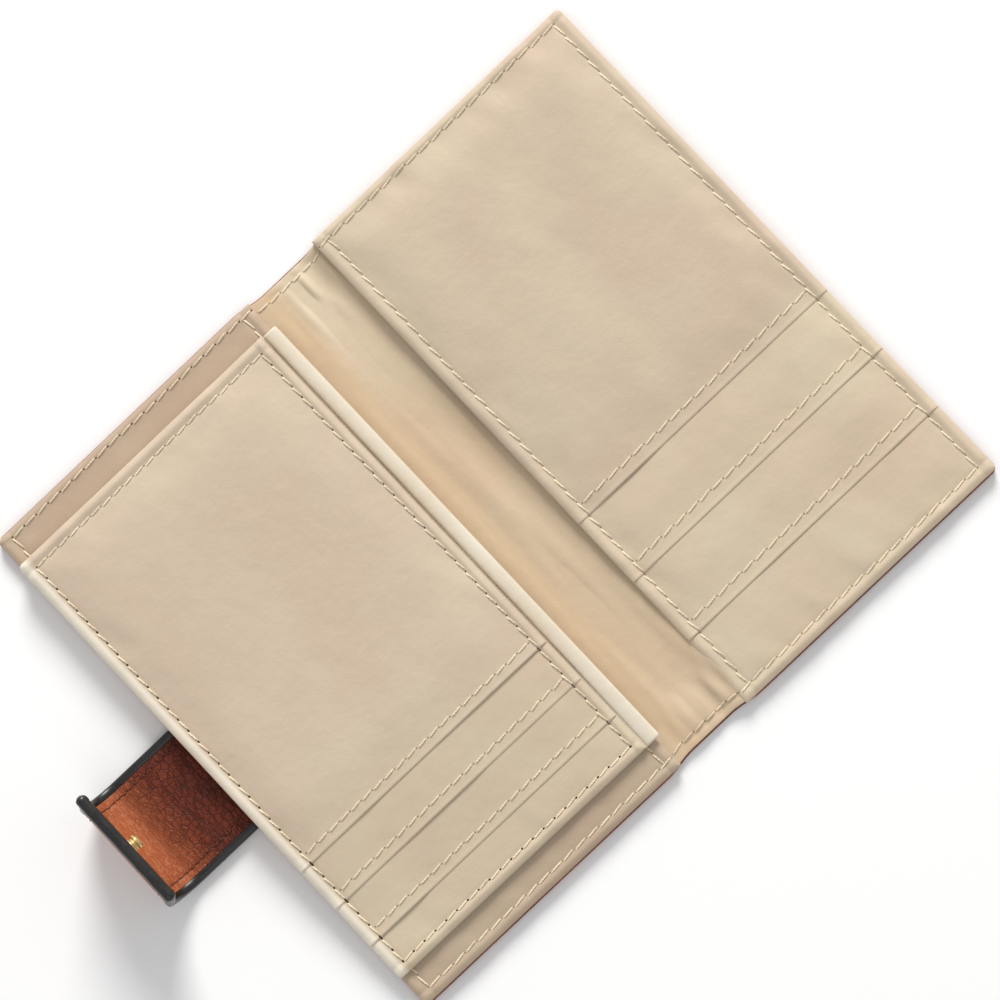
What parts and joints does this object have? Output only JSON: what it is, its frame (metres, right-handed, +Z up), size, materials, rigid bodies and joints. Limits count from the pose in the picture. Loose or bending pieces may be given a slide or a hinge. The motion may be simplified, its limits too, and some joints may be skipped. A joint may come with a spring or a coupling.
{
  "type": "long wallet",
  "caption": "Long bifold wallet, open, with cloth card slots, a lifting inner leaf and a leather tab that wraps the edge and snaps shut.",
  "frame": {"origin": "middle of the spine, on the underside of the leather, with the wallet lying open and its lining up", "axes": "+X across the wallet towards the closure tab, +Y along the spine towards the mouths of the card slots, +Z up out of the lining"},
  "size_m": [0.2668, 0.19, 0.0338],
  "materials": {
    "leather": "semi-gloss pebbled cognac leather",
    "board": "matt bonded fibre board",
    "lining": "fine twill lining with a soft sheen",
    "pocket_cloth": "fine twill pocket cloth with a soft sheen",
    "binding": "satin dark edge binding",
    "brass": "polished brass"
  },
  "bodies": {
    "back_cover": {"back_leather": "leather", "back_board": "board", "back_lining": "lining", "back_pocket": "pocket_cloth", "leaf_hinge_strip": "pocket_cloth", "leaf_gusset_lower": "pocket_cloth", "leaf_gusset_upper": "pocket_cloth", "tab_root": "leather"},
    "spine": {"spine_leather": "leather", "spine_lining": "lining"},
    "front_cover": {"front_leather": "leather", "front_board": "board", "front_lining": "lining", "front_backing": "pocket_cloth", "front_slot_1": "pocket_cloth", "front_slot_2": "pocket_cloth", "front_slot_3": "pocket_cloth", "snap_socket": "brass", "snap_socket_washer": "brass"},
    "leaf": {"leaf_back": "pocket_cloth", "leaf_backing": "pocket_cloth", "leaf_slot_1": "pocket_cloth", "leaf_slot_2": "pocket_cloth", "leaf_slot_3": "pocket_cloth"},
    "tab_riser": {"riser_inner_leather": "leather", "riser_core": "board", "riser_outer_leather": "leather", "riser_binding": "binding"},
    "tab_tip": {"tip_inner_leather": "leather", "tip_core": "board", "tip_outer_leather": "leather", "tip_binding": "binding", "snap_stud": "brass", "snap_stud_plate": "brass"}
  },
  "joints": [
    {"name": "back_fold", "type": "hinge", "parent": "back_cover", "child": "spine", "pos_m": [0.014, 0, 0.0036], "axis": [0, 1, 0], "range_deg": [0, 90]},
    {"name": "front_fold", "type": "hinge", "parent": "spine", "child": "front_cover", "pos_m": [-0.014, 0, 0.0036], "axis": [0, 1, 0], "range_deg": [0, 90]},
    {"name": "leaf_lift", "type": "hinge", "parent": "back_cover", "child": "leaf", "pos_m": [0.1179, 0, 0.0047], "axis": [0, 1, 0], "range_deg": [0, 9]},
    {"name": "tab_wrap", "type": "hinge", "parent": "back_cover", "child": "tab_riser", "pos_m": [0.1186, 0, 0.0028], "axis": [0, -1, 0], "range_deg": [0, 78]},
    {"name": "tab_curl", "type": "hinge", "parent": "tab_riser", "child": "tab_tip", "pos_m": [0.15028, 0, 0.0043], "axis": [0, -1, 0], "range_deg": [-102, 0]}
  ],
  "couplings": [
    {"joint": "front_fold", "follows": "back_fold", "ratio": 1}
  ]
}
